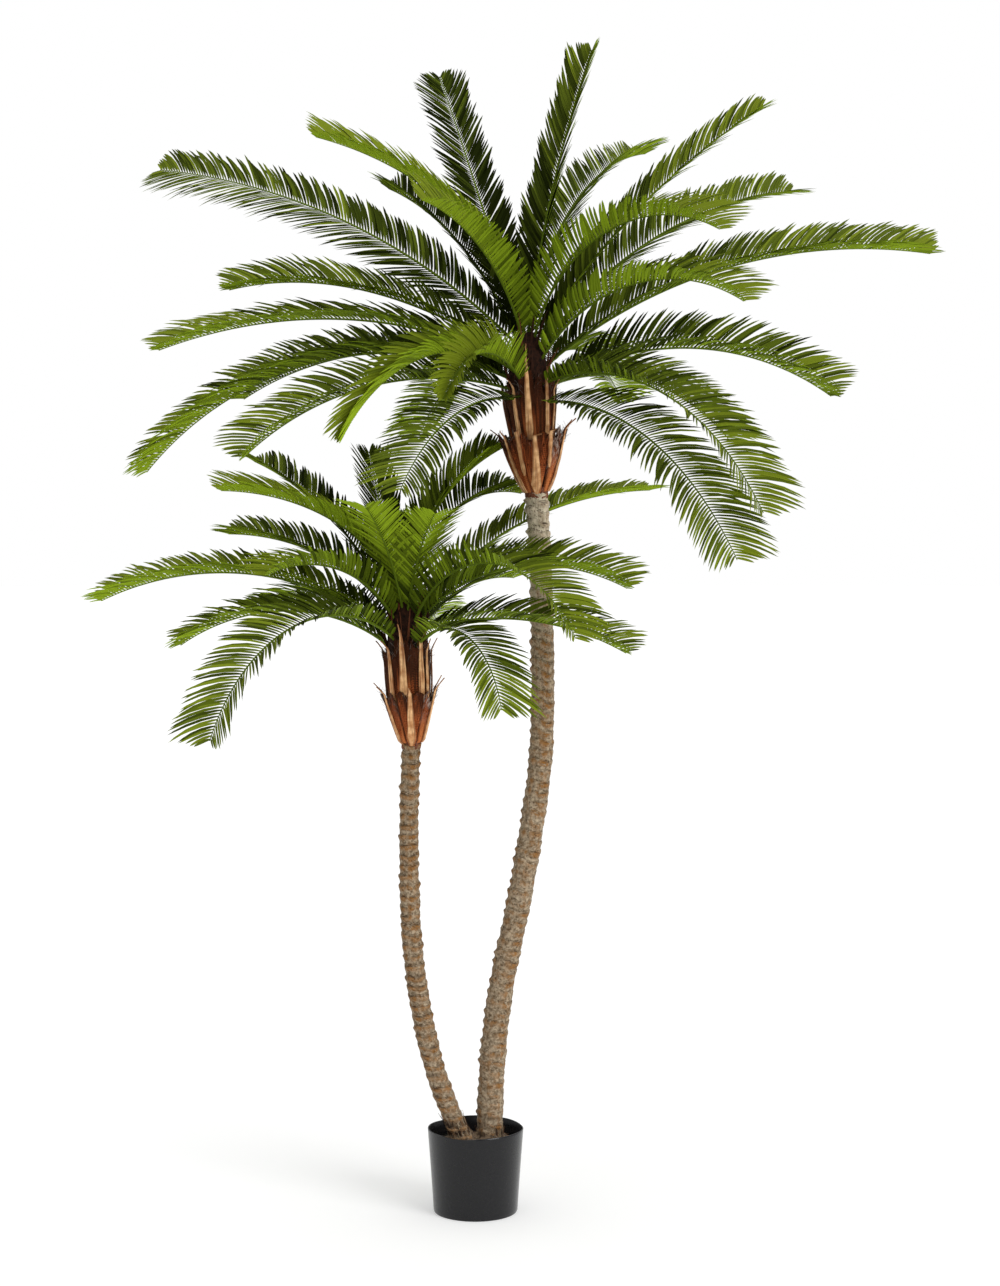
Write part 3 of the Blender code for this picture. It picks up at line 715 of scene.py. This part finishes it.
def leaf_base(around, radii, base, salt, layer):
    """One curved sheet of fibre with a torn rim, thickened to a closed solid."""
    heading, foot, rim, half_foot, half_rim = base[:5]
    tear = base[9]
    shaded_down = 0.36 if foot > 0.03 else 0.0
    bpy.ops.object.select_all(action="DESELECT")
    bpy.ops.mesh.primitive_grid_add(x_subdivisions=44, y_subdivisions=42, size=1.0)
    sheet = bpy.context.object
    holes = []
    for face in sheet.data.polygons:
        u = face.center.x * 2.0
        v = face.center.y + 0.5
        net = noise.noise(Vector((u * 11.0, v * 17.0, salt)))
        near_rim = max(0.0, v - 0.70) / 0.30
        holes.append(net > 0.62 - 0.55 * tear * near_rim - 0.30 * near_rim ** 6 and abs(u) > 0.10)
    tints = {}
    for name in ("rust", "rim_shade", "rim_grey"):
        tints[name] = sheet.data.attributes.new(name, "FLOAT", "POINT")
    for k, vertex in enumerate(sheet.data.vertices):
        u = vertex.co.x * 2.0
        v = vertex.co.y + 0.5
        side = abs(u)
        torn = noise.noise(Vector((u * 7.0, salt, 0.0))) + 0.8 * noise.noise(Vector((u * 23.0, salt, 5.0)))
        top = rim + between(side, WEB_CREST) + 0.0040 * torn
        height = foot + (top - foot) * v
        half = half_foot + (half_rim - half_foot) * min(1.0, 1.5 * v) ** 0.8
        puff = noise.noise(Vector((u * 2.0 + salt, v * 3.0, salt)))
        radius = between(height, radii) + layer - 0.0030 * math.sin(math.pi * min(1.0, side * 1.1)) * v
        radius += 0.0022 * puff * v - 0.0052 * max(0.0, side - 0.78) / 0.22
        radius += 0.0035 * (1.0 + torn) * max(0.0, v - 0.80) / 0.20 * side
        vertex.co = on_core(around, heading + half * u + 1.5 * torn * v, radius, height)
        streak = noise.noise(Vector((u * 9.0 + salt, v * 2.0, salt)))
        fray = noise.noise(Vector((u * 16.0, v * 20.0, salt)))
        # Painted shade: darker towards the rim where the next row and the fronds overhang, over most of an
        # upper-row base, and a painted shadow of the slit along each side seam.
        seam_shadow = max(0.0, side - 0.80) / 0.20
        rust = 0.75 - 1.5 * v + 0.9 * puff + 0.8 * streak
        dark = (v - 0.54 + shaded_down) * 2.4 + 0.7 * puff + 0.7 * streak
        grey = max(0.0, v - 0.30) * (0.35 + 2.8 * fray) * tear ** 4
        tints["rust"].data[k].value = min(0.85, max(0.0, rust)) * (1.0 - seam_shadow)
        tints["rim_shade"].data[k].value = min(0.90, max(0.0, max(dark, seam_shadow)))
        tints["rim_grey"].data[k].value = min(0.80, max(0.0, grey))
    bpy.ops.object.mode_set(mode="EDIT")
    bpy.ops.mesh.select_mode(type="FACE")
    bpy.ops.mesh.select_all(action="DESELECT")
    bpy.ops.object.mode_set(mode="OBJECT")
    for face, torn_out in zip(sheet.data.polygons, holes):
        face.select = torn_out
    bpy.ops.object.mode_set(mode="EDIT")
    bpy.ops.mesh.delete(type="FACE")
    bpy.ops.mesh.select_mode(type="VERT")
    bpy.ops.mesh.select_all(action="DESELECT")
    bpy.ops.object.mode_set(mode="OBJECT")
    lowest = min(range(len(sheet.data.vertices)), key=lambda k: sheet.data.vertices[k].co.z)
    sheet.data.vertices[lowest].select = True
    bpy.ops.object.mode_set(mode="EDIT")
    bpy.ops.mesh.select_linked()
    bpy.ops.mesh.select_all(action="INVERT")
    bpy.ops.mesh.delete(type="VERT")
    bpy.ops.object.mode_set(mode="OBJECT")
    sheet.modifiers.new("thick", "SOLIDIFY").thickness = SHEET_THICK
    bpy.ops.object.modifier_apply(modifier="thick")
    smooth_and_paint(sheet, 50.0, web_paint)
    return sheet


def base_rib(around, radii, base, salt, layer):
    """The tan rib of a leaf base: a crowned strip from its foot to a bare spike over the rim."""
    heading, foot, rim = base[:3]
    at_foot, belly, at_rim, spike = (size / 1000.0 for size in base[5:9])
    bpy.ops.object.select_all(action="DESELECT")
    bpy.ops.mesh.primitive_grid_add(x_subdivisions=8, y_subdivisions=44, size=1.0)
    strip = bpy.context.object
    stain = strip.data.attributes.new("stain", "FLOAT", "POINT")
    luck = random.Random(salt)
    skew = luck.uniform(-5.0, 3.0)
    kick = luck.uniform(-9.0, 9.0)
    bare = spike / (rim - foot + spike)
    widths = ((0.0, at_foot), (0.17, belly), (0.34, 0.86 * belly), (0.62, 0.5 * (belly + at_rim)),
              (1.0, at_rim))
    for k, vertex in enumerate(strip.data.vertices):
        u = vertex.co.x * 2.0
        v = vertex.co.y + 0.5
        up = v / (1.0 - bare)
        over = max(0.0, up - 1.0) * (1.0 - bare) / bare
        ragged = 1.0 + 0.10 * noise.noise(Vector((math.copysign(3.0, u), v * 9.0, salt)))
        width = between(up, widths) * ragged * (1.0 - 0.82 * over ** 0.8)
        height = foot + (rim + spike - foot) * v
        radius = between(height, radii) + layer + 0.0024 + 0.0014 * (1.0 - u * u) + 0.012 * over ** 1.2
        turn = heading + skew * up * (1.0 - 0.3 * up) + kick * over * over
        turn += math.degrees(0.5 * width * u / radius)
        radius += 0.0005 * noise.noise(Vector((u * 3.0, v * 22.0, salt))) + 0.0010 * abs(u) ** 3 * (1.0 - v)
        vertex.co = on_core(around, turn, radius, height)
        streak = noise.noise(Vector((u * 3.2, v * 2.2, salt * 1.3)))
        streak += 0.6 * noise.noise(Vector((u * 8.0, v * 4.0, salt)))
        edge = max(0.0, abs(u) - 0.45) / 0.55
        stain.data[k].value = min(0.9, max(0.0, 1.6 * streak + 0.85 * over + 0.80 * edge - 0.06))
    strip.modifiers.new("thick", "SOLIDIFY").thickness = STRIP_THICK
    bpy.ops.object.modifier_apply(modifier="thick")
    smooth_and_paint(strip, 45.0, strip_paint)
    return strip


def join_as(name, pieces):
    """Joins small pieces of one kind into one object."""
    bpy.ops.object.select_all(action="DESELECT")
    for piece in pieces:
        piece.select_set(True)
    bpy.context.view_layer.objects.active = pieces[0]
    bpy.ops.object.join()
    whole = bpy.context.object
    whole.name = name
    return whole


BRACTS = 54
BRACT_TURN = 222.5

hair_paints = []
for name, colour in (
    ("hair_brown", (0.075, 0.032, 0.015)), ("hair_grey", (0.145, 0.120, 0.105)),
    ("bract_brown", (0.110, 0.034, 0.013)), ("bract_dark", (0.035, 0.012, 0.006)),
):
    hair_paints.append(new_paint(name, colour, 0.85, 0.15)[0])
for crown, stem, core, rows in (
    ("tall", TALL_STEM, TALL_CORE, TALL_BASES), ("short", SHORT_STEM, SHORT_CORE, SHORT_BASES),
):
    around = core_frame(stem, core[0])
    luck = random.Random(len(crown))
    points, faces, slots = [], [], []
    for row, (radii, bases) in enumerate(rows):
        tier = f"{crown}_{('upper', 'lower')[row]}"
        sheets, strips = [], []
        for number, base in enumerate(bases):
            salt = 3.1 * number + 17.0 * row + len(crown)
            layer = 0.0007 * number - 0.0014
            if base[3] > NARROWEST_SHEET:
                sheets.append(leaf_base(around, radii, base, salt, layer))
            strips.append(base_rib(around, radii, base, salt, layer))
            for hair in range(10 + round(46 * base[9])):
                u = luck.uniform(-1.0, 1.0)
                height = base[2] + between(abs(u), WEB_CREST) - luck.uniform(0.001, 0.016)
                turn = base[0] + base[4] * u
                start = on_core(around, turn, between(height, radii) + layer + 0.0004, height)
                out = (start - on_core(around, 0.0, 0.0, height)).normalized()
                way = Vector((luck.gauss(0, 0.4), luck.gauss(0, 0.4), 1.0)) + out * luck.uniform(-0.1, 0.5)
                curl = Vector((luck.gauss(0, 0.8), luck.gauss(0, 0.8), luck.uniform(-0.9, 0.3)))
                before = len(faces)
                add_shred(points, faces, start, way.normalized(), curl, luck.uniform(0.006, 0.020),
                          0.0006, 0.0005, 4)
                slots += [luck.choice((0, 1, 1))] * (len(faces) - before)
        seat(join_as("sheath_" + tier, sheets), "leaf_sheath", tier.replace("_", "_sheath_"))
        seat(join_as("sheath_ribs_" + tier, strips), "leaf_sheath")
    for bract in range(BRACTS):
        height = luck.uniform(0.55, 0.98) * core[1][-1][0]
        turn = BRACT_TURN * bract
        start = on_core(around, turn, between(height, core[1]) - 0.002, height)
        out = (start - on_core(around, 0.0, 0.0, height)).normalized()
        way = (Vector((0.0, 0.0, 1.0)) + out * luck.uniform(0.05, 0.50)).normalized()
        before = len(faces)
        add_shred(points, faces, start, way, out * luck.uniform(-0.2, 0.6), luck.uniform(0.040, 0.085),
                  luck.uniform(0.005, 0.009), 0.0016, 7)
        slots += [luck.choice((2, 3, 3))] * (len(faces) - before)
    hairs = joined_mesh("sheath_fibres_" + crown, points, faces, hair_paints, slots)
    seat(hairs, "leaf_sheath")


# Fronds: each is a green keeled rib of wired plastic pushed into the core, with two rows of
# narrow leaflets. They are grown by the rule of the CAD fronds, and some are cut shorter, or have
# their rows raised or rolled further, as they show in the picture.

# Of each frond: heading, root height, rise, droop, length, bend, raise of the rows, roll, and how
# light a green, partly its own tone and partly painted light and shade for a frond lit or in shade.
TALL_FRONDS = (
    (155, 0.285, 44, 36, 0.965, 0.9, 12, -46, 0.42),
    (204, 0.292, 86, 76, 0.625, 0.62, 31, -22, 0.80),
    (115, 0.285, 57, 4, 0.74, 1.0, 10, -18, 0.05),
    (244, 0.285, 60, 56, 0.51, 0.7, 35, -30, 0.75),
    (132, 0.270, 58, 38, 0.56, 1.1, 45, -10, 0.05),
    (185, 0.268, 30, 45, 0.602, 1.5, 30, -20, 0.50),
    (192, 0.248, 28, 50, 0.735, 0.85, 28, -12, 0.62),
    (172, 0.220, 24, 75, 0.85, 0.95, 40, -20, 0.55),
    (200, 0.205, 14, 58, 0.6, 1.0, 40, -20, 0.50),
    (226, 0.228, 28, 84, 0.54, 0.85, 64, -20, 0.85),
    (250, 0.205, 27, 72, 0.475, 1.1, 60, -20, 0.85),
    (235, 0.190, 4, 60, 0.46, 1.0, 25, -15, 0.36),
    (46, 0.304, 80, 16, 0.64, 1.0, 35, 0, 0.34),
    (8, 0.285, 58, 25, 0.685, 1.0, 24, 20, 0.55),
    (316, 0.270, 70, 98, 0.585, 0.95, 35, 10, 0.70),
    (60, 0.250, 80, 71, 0.72, 0.75, 35, 0, 0.40),
    (30, 0.265, 50, 44, 0.755, 1.1, 29, 24, 0.47),
    (4, 0.235, 40, 48, 0.858, 1.0, 38, 25, 0.50),
    (323, 0.235, 52, 84, 0.535, 1.0, 35, 10, 0.68),
    (350, 0.196, 31, 68, 0.608, 1.0, 48, 28, 0.42),
    (309, 0.213, 15, 72, 0.73, 0.9, 40, 10, 0.56),
    (307, 0.186, 2, 58, 0.69, 0.9, 25, 20, 0.54),
    (150, 0.225, 22, 50, 0.70, 1.0, 35, -10, 0.20),
    (95, 0.240, 46, 50, 0.76, 1.0, 35, 0, 0.15),
    (110, 0.205, 22, 60, 0.74, 1.0, 35, 0, 0.35),
    (72, 0.215, 28, 60, 0.72, 1.0, 35, 0, 0.45),
    (48, 0.205, 18, 54, 0.68, 1.0, 35, 10, 0.30),
)
SHORT_FRONDS = (
    (170, 0.215, 34, 60, 0.64, 1.0, 34, -11, 0.68),
    (205, 0.240, 78, 78, 0.468, 0.62, 30, -12, 0.84),
    (140, 0.225, 56, 38, 0.52, 1.0, 30, 0, 0.30),
    (158, 0.220, 53, 54, 0.422, 0.8, 30, -10, 0.45),
    (220, 0.215, 54, 78, 0.35, 1.0, 30, 0, 0.60),
    (183, 0.172, 38, 74, 0.445, 0.9, 26, -8, 0.48),
    (231, 0.190, 34, 100, 0.615, 0.9, 35, -10, 0.45),
    (124, 0.245, 68, 0, 0.33, 1.0, 15, 0, 0.10),
    (256, 0.248, 56, 36, 0.33, 1.0, 15, 0, 0.66),
    (286, 0.240, 58, 34, 0.29, 1.0, 15, 0, 0.62),
    (30, 0.256, 86, 62, 0.405, 0.9, 35, 5, 0.42),
    (44, 0.232, 82, 92, 0.43, 0.9, 35, 10, 0.30),
    (28, 0.212, 57, 56, 0.63, 0.75, 23, 6, 0.76),
    (345, 0.210, 54, 82, 0.468, 0.8, 40, 15, 0.58),
    (309, 0.205, 58, 112, 0.58, 0.85, 35, 0, 0.55),
    (58, 0.205, 34, 40, 0.40, 1.0, 30, 0, 0.25),
    (344, 0.222, 17, 46, 0.435, 1.0, 33, 10, 0.50),
    (303, 0.172, 36, 112, 0.39, 1.0, 20, 0, 0.50),
    (125, 0.190, 28, 50, 0.56, 1.0, 30, 0, 0.30),
    (85, 0.190, 26, 54, 0.56, 1.0, 30, 0, 0.40),
    (100, 0.220, 46, 50, 0.54, 1.0, 30, 0, 0.20),
)


def skin_tree(node):
    """Search tree over a CAD node, in metres."""
    mesh = frame["nodes"][node].data
    corners = [vertex.co.copy() for vertex in mesh.vertices]
    return BVHTree.FromPolygons(corners, [tuple(face.vertices) for face in mesh.polygons])


def rib_line(stem, core, tree, frond, steps):
    """Rib stations as (point, tangent, across, up), from the core's skin to the tip."""
    heading, root, rise, droop, length, bend = frond[:6]
    roll = frond[7]
    place = on_core(core_frame(stem, core[0]), 0.0, 0.0, root)
    turn = math.radians(heading)
    level = Vector((math.cos(turn), math.sin(turn), 0.0))
    way = level * math.cos(math.radians(rise)) + Vector((0.0, 0.0, math.sin(math.radians(rise))))
    hit = tree.ray_cast(place + way * 0.4, -way)[0]
    place = place + way * ((hit - place).length + 0.004)
    stations = []
    fine = 4
    for step in range(steps * fine + 1):
        share = step / (steps * fine)
        tilt = math.radians(rise - droop * share ** bend)
        along = level * math.cos(tilt) + Vector((0.0, 0.0, math.sin(tilt)))
        up = level * -math.sin(tilt) + Vector((0.0, 0.0, math.cos(tilt)))
        if step % fine == 0:
            across = along.cross(up)
            rolled = up * math.cos(math.radians(roll)) + across * math.sin(math.radians(roll))
            stations.append((place.copy(), along, along.cross(rolled), rolled))
        place = place + along * (length / (steps * fine))
    return stations


def leaflet_length(share, longest):
    """Leaflets grow from the bare stalk, stay long, and shorten to the blunt tip."""
    grown = min(1.0, 0.34 + (share - 0.015) * 3.3)
    fading = min(1.0, 0.80 + (1.0 - share) * 1.8)
    return longest * grown * fading


LEAFLET_STATIONS = ((0.0, 0.46), (0.10, 0.76), (0.34, 1.0), (0.62, 0.96), (0.86, 0.62), (1.0, 0.0))


def add_leaflet(points, faces, slots, root, way, normal, tip_way, size, width, sag, slot):
    """A closed channelled blade: four points a station, upper and under faces in two slots."""
    start = len(points)
    last = len(LEAFLET_STATIONS) - 1
    place = root.copy()
    before = 0.0
    for k, (share, wide) in enumerate(LEAFLET_STATIONS):
        bent = (way * (1.0 - share) + tip_way * share).normalized()
        place = place + bent * (size * (share - before))
        before = share
        spot = place - Vector((0.0, 0.0, sag * share * share))
        if k == last:
            points.append(spot)
            break
        side = bent.cross(normal).normalized()
        face = side.cross(bent)
        half = 0.5 * width * wide
        points.append(spot - side * half)
        points.append(spot - face * (half * 0.28) + face * 0.00012)
        points.append(spot + side * half)
        points.append(spot - face * (half * 0.28) - face * 0.00045)
    for k in range(last):
        a = start + 4 * k
        if k < last - 1:
            faces += [(a, a + 4, a + 5, a + 1), (a + 1, a + 5, a + 6, a + 2),
                      (a + 2, a + 6, a + 7, a + 3), (a + 3, a + 7, a + 4, a)]
        else:
            faces += [(a, a + 4, a + 1), (a + 1, a + 4, a + 2), (a + 2, a + 4, a + 3), (a + 3, a + 4, a)]
        slots += [slot, slot, slot + 1, slot + 1]
    faces.append((start, start + 1, start + 2, start + 3))
    slots.append(slot)


TALL_LEAFLET = 0.112
SHORT_LEAFLET = 0.102
LEAFLET_PITCH = 0.0086
PITCH_LOSS = 0.0020
LEAFLET_WIDTH = 0.0070
WIDTH_LOSS = 0.0014
LEAFLET_SWEEP = 57.0
STEEP_FOLD = 55.0
BLUNT_END = 0.017


def grow_rows(points, faces, slots, stations, frond, longest, salt):
    """Both rows of leaflets of one frond, in loose bunches, each with its own small twist.

    A stiff upright frond holds its leaflets further forward, a steeply folded one holds them
    against its rib, and a low one has narrower leaflets.
    """
    luck = random.Random(salt)
    steps = len(stations) - 1
    rise, droop, length = frond[2:5]
    fold = frond[6]
    green_and_shade = frond[8]
    closed = 2.6 * max(0.0, fold - STEEP_FOLD)
    stand = LEAFLET_SWEEP - 0.22 * max(0.0, rise - droop + 30.0)
    slim = min(1.0, 0.84 + 0.004 * rise)
    for side in (-1, 1):
        s = 0.015 * length + 0.003 * luck.random()
        while s < length * 0.997:
            share = s / length
            place = share * steps
            k = min(int(place), steps - 1)
            near, far = stations[k], stations[k + 1]
            point = near[0].lerp(far[0], place - k)
            along = near[1].lerp(far[1], place - k).normalized()
            across = near[2].lerp(far[2], place - k).normalized()
            up = along.cross(across) * -1.0
            bunch = noise.noise(Vector((s * 36.0, side * 9.0, salt * 1.7)))
            loose = noise.noise(Vector((s * 14.0, side * 5.0 + 40.0, salt * 2.3)))
            sweep = stand - 3.0 * share - closed * (0.5 + share) + 6.0 * bunch + luck.gauss(0.0, 1.2)
            lift = fold + 4.0 * loose + luck.gauss(0.0, 1.6)
            front = (length - s + BLUNT_END) / math.cos(math.radians(sweep - 3.0))
            size = min(leaflet_length(share, longest), front) * (1.0 + 0.04 * luck.gauss(0.0, 1.0))
            raised = math.radians(lift + 7.0)
            lowered = math.radians(lift - 9.0)
            out = across * (side * math.cos(raised)) + up * math.sin(raised)
            low = across * (side * math.cos(lowered)) + up * math.sin(lowered)
            first = math.radians(sweep + 4.0)
            end = math.radians(sweep - 10.0)
            way = along * math.cos(first) + out * math.sin(first)
            tip_way = along * math.cos(end) + low * math.sin(end)
            normal = (out.cross(along) * side).normalized()
            twist = math.radians(luck.gauss(0.0, 4.0) + 6.0 * bunch)
            normal = (normal * math.cos(twist) + way.cross(normal) * math.sin(twist)).normalized()
            root = point + across * (side * 0.0022 * (1.0 - 0.6 * share)) - up * 0.0006
            width = (LEAFLET_WIDTH - WIDTH_LOSS * share) * slim * luck.uniform(0.90, 1.10)
            sag = size * size * (0.55 + 0.5 * abs(luck.gauss(0.0, 1.0)))
            # Painted light and shade: the frond's lightness sets the tone, and leaflets near the root,
            # inside the crown, take darker tones as painted shade, with lighter tones towards the tip.
            light = green_and_shade + 0.55 * (share - 0.5) + luck.gauss(0.0, 0.17)
            tone = 0 if light < 0.20 else 2 if light < 0.45 else 4 if light < 0.72 else 6
            add_leaflet(points, faces, slots, root, way, normal, tip_way, size, width, sag, tone)
            s += (LEAFLET_PITCH - PITCH_LOSS * share) * luck.uniform(0.92, 1.08)


RIB_OUTLINE = ((-1.0, 0.0), (-0.55, 0.28), (0.0, 0.16), (0.55, 0.28),
               (1.0, 0.0), (0.72, -0.62), (0.0, -1.0), (-0.72, -0.62))
RIB_HALF_WIDTH = 0.0032
RIB_DEPTH = 0.0052
RIB_SUNK = 0.022
RIB_STEP = 0.016


def add_rib(points, faces, stations):
    """Keeled rib with eight sides, thinning to the tip, its root sunk in the core."""
    start = len(points)
    steps = len(stations) - 1
    for k in range(-1, steps + 1):
        place, along, across, up = stations[max(k, 0)]
        share = max(k, 0) / steps
        spot = place - along * RIB_SUNK if k < 0 else place
        half = RIB_HALF_WIDTH * (1.0 - 0.74 * share)
        deep = RIB_DEPTH * (1.0 - 0.74 * share)
        for x, y in RIB_OUTLINE:
            points.append(spot + across * (half * x) + up * (deep * y if y < 0 else half * y))
    for k in range(steps + 1):
        for m in range(8):
            a = start + 8 * k + m
            b = start + 8 * k + (m + 1) % 8
            faces.append((a, b, b + 8, a + 8))
    faces.append(tuple(start + m for m in reversed(range(8))))
    faces.append(tuple(start + 8 * (steps + 1) + m for m in range(8)))


# Four tones of the leaflets' upper and under faces, deep to light: lit and shaded copies of one green,
# dealt out as painted light and shade along with some random tone.
leaf_paints = []
for name, colour, rough, gloss in (
    ("leaf_upper_deep", (0.012, 0.017, 0.0020), 0.50, 0.008),
    ("leaf_under_deep", (0.027, 0.041, 0.0032), 0.60, 0.008),
    ("leaf_upper_dark", (0.036, 0.050, 0.0042), 0.50, 0.014),
    ("leaf_under_dark", (0.080, 0.116, 0.0060), 0.60, 0.010),
    ("leaf_upper_mid", (0.085, 0.114, 0.0075), 0.48, 0.03),
    ("leaf_under_mid", (0.165, 0.236, 0.0100), 0.55, 0.02),
    ("leaf_upper_light", (0.155, 0.198, 0.0110), 0.46, 0.04),
    ("leaf_under_light", (0.252, 0.362, 0.0150), 0.55, 0.02),
):
    leaf_paints.append(new_paint(name, colour, rough, gloss)[0])
rib_paint = new_paint("frond_rib", (0.090, 0.135, 0.008), 0.55, 0.04)[0]

# The leaflets of a crown are joined into a few pieces: part, first frond and the one after its last.
TALL_PARTS = (("a", 0, 9), ("b", 9, 18), ("c", 18, 27))
SHORT_PARTS = (("a", 0, 10), ("b", 10, 21))
for crown, stem, core, fronds, longest, parts in (
    ("tall", TALL_STEM, TALL_CORE, TALL_FRONDS, TALL_LEAFLET, TALL_PARTS),
    ("short", SHORT_STEM, SHORT_CORE, SHORT_FRONDS, SHORT_LEAFLET, SHORT_PARTS),
):
    tree = skin_tree(crown + "_crown_core")
    rib_points, rib_faces = [], []
    for part, first, end in parts:
        points, faces, slots, replaced = [], [], [], []
        for number in range(first, end):
            frond = fronds[number]
            steps = max(20, round(frond[4] / RIB_STEP))
            stations = rib_line(stem, core, tree, frond, steps)
            grow_rows(points, faces, slots, stations, frond, longest, 100 * len(fronds) + number)
            add_rib(rib_points, rib_faces, stations)
            replaced.append(f"{crown}_frond_{number + 1:02d}")
        leaves = joined_mesh(f"leaflets_{crown}_{part}", points, faces, leaf_paints, slots)
        seat(leaves, "frond", *replaced)
    ribs = joined_mesh("ribs_" + crown, rib_points, rib_faces, [rib_paint])
    ribs.data.polygons.foreach_set("use_smooth", [True] * len(ribs.data.polygons))
    seat(ribs, "frond")
